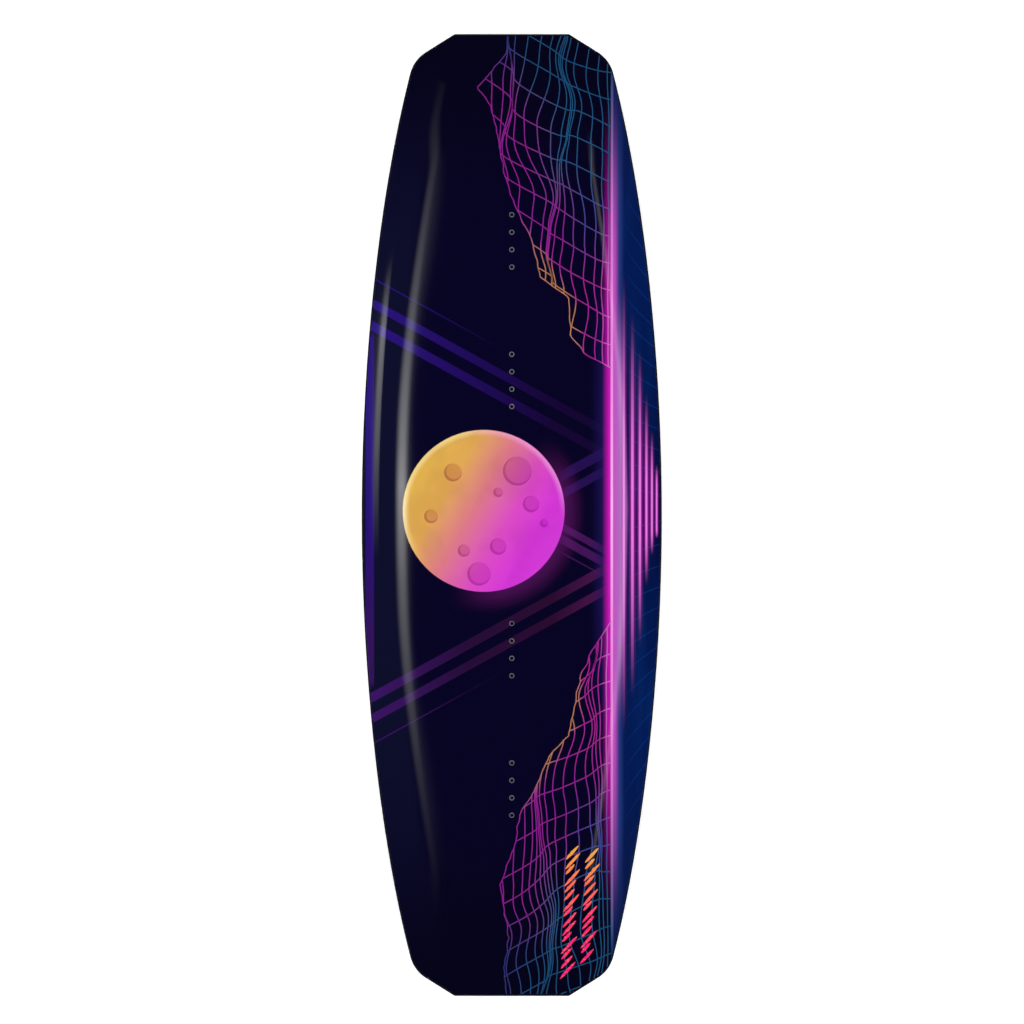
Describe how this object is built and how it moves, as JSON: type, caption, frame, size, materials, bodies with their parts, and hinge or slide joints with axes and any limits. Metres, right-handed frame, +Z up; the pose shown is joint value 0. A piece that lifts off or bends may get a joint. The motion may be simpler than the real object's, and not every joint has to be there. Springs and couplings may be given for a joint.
{
  "type": "wakeboard",
  "caption": "Twin-tip wakeboard with chamfered tips, bevelled deck, three-layer sandwich build, centre-row binding inserts and bolt-on fins.",
  "frame": {"origin": "bottom centre of the bounding box, under the middle of the board on the flat of its base", "axes": "+Y along the board to the nose, +X to the right seen from above with the nose up, +Z up out of the deck"},
  "size_m": [0.438, 1.4, 0.0753],
  "materials": {
    "deck_print": "glossy print",
    "glass_fibre": "woven laminate",
    "core_foam": "closed-cell foam",
    "stringer_wood": "raw",
    "sintered_base": "ground",
    "rail_plastic": "satin",
    "insert_plate": "woven laminate",
    "stainless_steel": "machined",
    "brass_insert": "machined",
    "fin_plastic": "moulded"
  },
  "bodies": {
    "root": {"topsheet": "deck_print", "top_laminate": "glass_fibre", "core": "core_foam", "stringer_left": "stringer_wood", "stringer_right": "stringer_wood", "bottom_laminate": "glass_fibre", "base_sheet": "sintered_base", "sidewall_left": "rail_plastic", "sidewall_right": "rail_plastic", "tip_block_nose": "rail_plastic", "tip_block_tail": "rail_plastic", "insert_plate_nose_inner": "insert_plate", "binding_insert_nose_inner_1": "stainless_steel", "binding_insert_nose_inner_2": "stainless_steel", "binding_insert_nose_inner_3": "stainless_steel", "binding_insert_nose_inner_4": "stainless_steel", "insert_plate_nose_outer": "insert_plate", "binding_insert_nose_outer_1": "stainless_steel", "binding_insert_nose_outer_2": "stainless_steel", "binding_insert_nose_outer_3": "stainless_steel", "binding_insert_nose_outer_4": "stainless_steel", "insert_plate_tail_inner": "insert_plate", "binding_insert_tail_inner_1": "stainless_steel", "binding_insert_tail_inner_2": "stainless_steel", "binding_insert_tail_inner_3": "stainless_steel", "binding_insert_tail_inner_4": "stainless_steel", "insert_plate_tail_outer": "insert_plate", "binding_insert_tail_outer_1": "stainless_steel", "binding_insert_tail_outer_2": "stainless_steel", "binding_insert_tail_outer_3": "stainless_steel", "binding_insert_tail_outer_4": "stainless_steel", "fin_nose_left": "fin_plastic", "fin_screw_nose_left_1": "stainless_steel", "fin_insert_nose_left_1": "brass_insert", "fin_screw_nose_left_2": "stainless_steel", "fin_insert_nose_left_2": "brass_insert", "fin_nose_right": "fin_plastic", "fin_screw_nose_right_1": "stainless_steel", "fin_insert_nose_right_1": "brass_insert", "fin_screw_nose_right_2": "stainless_steel", "fin_insert_nose_right_2": "brass_insert", "fin_tail_left": "fin_plastic", "fin_screw_tail_left_1": "stainless_steel", "fin_insert_tail_left_1": "brass_insert", "fin_screw_tail_left_2": "stainless_steel", "fin_insert_tail_left_2": "brass_insert", "fin_tail_right": "fin_plastic", "fin_screw_tail_right_1": "stainless_steel", "fin_insert_tail_right_1": "brass_insert", "fin_screw_tail_right_2": "stainless_steel", "fin_insert_tail_right_2": "brass_insert"}
  },
  "joints": []
}
